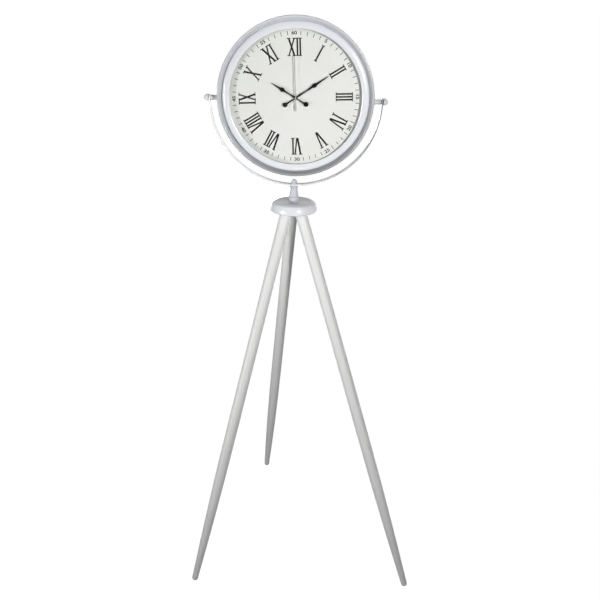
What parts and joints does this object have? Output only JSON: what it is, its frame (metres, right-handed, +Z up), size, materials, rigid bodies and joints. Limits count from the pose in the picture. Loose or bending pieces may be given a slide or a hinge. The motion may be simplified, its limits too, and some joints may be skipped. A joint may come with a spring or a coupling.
{
  "type": "tripod floor clock",
  "caption": "White tripod floor clock: round drum head that tilts in a semicircular yoke on a turned stem, with splayed round legs and a battery movement.",
  "frame": {"origin": "on the floor, straight below the stem's axis", "axes": "+Z up along the stem, the dial faces -Y, the head tilts about X"},
  "size_m": [0.6181, 0.6276, 1.5371],
  "materials": {
    "painted_wood": "white paint, satin, faint grain",
    "white_metal": "white enamel, glossy",
    "steel": "zinc plated",
    "fibre": "pale fibre",
    "clear_glass": "clear",
    "black_rubber": "matt",
    "white_plastic": "matt",
    "printed_card": "printed, matt",
    "black_plastic": "moulded",
    "brass": "turned",
    "nylon": "moulded",
    "battery_sleeve": "plain sleeve",
    "green_board": "lacquered",
    "copper_winding": "wound",
    "black_hand": "black paint",
    "grey_hand": "grey paint"
  },
  "bodies": {
    "stand": {"leg_left": "painted_wood", "leg_right": "painted_wood", "leg_rear": "painted_wood", "leg_bolts": "steel", "leg_plate": "steel", "canopy_cap": "white_metal", "stem": "white_metal", "centre_rod": "steel", "plate_nut": "steel", "plate_washer": "steel", "finial": "white_metal", "swivel_washers": "fibre"},
    "yoke": {"yoke_strip": "white_metal"},
    "head": {"case_drum": "white_metal", "bezel": "white_metal", "bezel_screws": "steel", "glass": "clear_glass", "glass_gasket": "black_rubber", "spacer_ring": "white_plastic", "dial": "printed_card", "rear_cover": "white_metal", "cover_screws": "steel", "post_left": "white_metal", "post_right": "white_metal", "pivot_studs": "steel", "pivot_nuts": "steel", "pivot_washers": "fibre", "movement_case": "black_plastic", "movement_lid": "black_plastic", "train_plate": "nylon", "shaft_bush": "brass", "dial_nut": "brass", "dial_washer": "fibre", "dial_cushion": "black_rubber", "battery": "battery_sleeve", "battery_contacts": "steel", "circuit_board": "green_board", "coil": "copper_winding", "stator": "steel"},
    "left_thumb_nut": {"knob_left": "white_metal"},
    "right_thumb_nut": {"knob_right": "white_metal"},
    "minute": {"minute_hand": "black_hand", "minute_arbor": "brass", "minute_nut": "brass"},
    "hour": {"hour_hand": "black_hand", "hour_wheel": "nylon"},
    "setting": {"setting_knob": "black_plastic", "motion_wheel": "nylon"},
    "second": {"second_hand": "grey_hand", "second_wheel": "nylon"},
    "third": {"third_wheel": "nylon"},
    "centre": {"centre_wheel": "nylon"},
    "step": {"step_wheel": "nylon"},
    "motor": {"rotor": "nylon"}
  },
  "joints": [
    {"name": "yoke_swivel", "type": "hinge", "parent": "stand", "child": "yoke", "pos_m": [0, 0, 1.108], "axis": [0, 0, 1], "continuous": true},
    {"name": "head_tilt", "type": "hinge", "parent": "yoke", "child": "head", "pos_m": [0, 0, 1.3295], "axis": [1, 0, 0], "range_deg": [-165, 165]},
    {"name": "knob_left_turn", "type": "hinge", "parent": "head", "child": "left_thumb_nut", "pos_m": [-0.23, 0, 1.3295], "axis": [-1, 0, 0], "range_deg": [0, 180]},
    {"name": "knob_right_turn", "type": "hinge", "parent": "head", "child": "right_thumb_nut", "pos_m": [0.23, 0, 1.3295], "axis": [1, 0, 0], "range_deg": [0, 180]},
    {"name": "minute_turn", "type": "hinge", "parent": "head", "child": "minute", "pos_m": [0, 0, 1.337], "axis": [0, 1, 0], "continuous": true},
    {"name": "hour_turn", "type": "hinge", "parent": "head", "child": "hour", "pos_m": [0, 0, 1.337], "axis": [0, 1, 0], "continuous": true},
    {"name": "setting_turn", "type": "hinge", "parent": "head", "child": "setting", "pos_m": [-0.00779, 0, 1.3415], "axis": [0, 1, 0], "continuous": true},
    {"name": "second_turn", "type": "hinge", "parent": "head", "child": "second", "pos_m": [0, 0, 1.337], "axis": [0, 1, 0], "continuous": true},
    {"name": "third_turn", "type": "hinge", "parent": "head", "child": "third", "pos_m": [0.00624, 0, 1.3406], "axis": [0, 1, 0], "continuous": true},
    {"name": "centre_turn", "type": "hinge", "parent": "head", "child": "centre", "pos_m": [0, 0, 1.337], "axis": [0, 1, 0], "continuous": true},
    {"name": "step_turn", "type": "hinge", "parent": "head", "child": "step", "pos_m": [0.00632, 0, 1.33335], "axis": [0, 1, 0], "continuous": true},
    {"name": "rotor_turn", "type": "hinge", "parent": "head", "child": "motor", "pos_m": [0.01223, 0, 1.33231], "axis": [0, 1, 0], "continuous": true}
  ],
  "couplings": [
    {"joint": "hour_turn", "follows": "minute_turn", "ratio": 0.083333},
    {"joint": "setting_turn", "follows": "minute_turn", "ratio": -0.33333},
    {"joint": "third_turn", "follows": "second_turn", "ratio": -0.13333},
    {"joint": "centre_turn", "follows": "second_turn", "ratio": 0.016667},
    {"joint": "step_turn", "follows": "second_turn", "ratio": -6},
    {"joint": "rotor_turn", "follows": "second_turn", "ratio": 30}
  ]
}
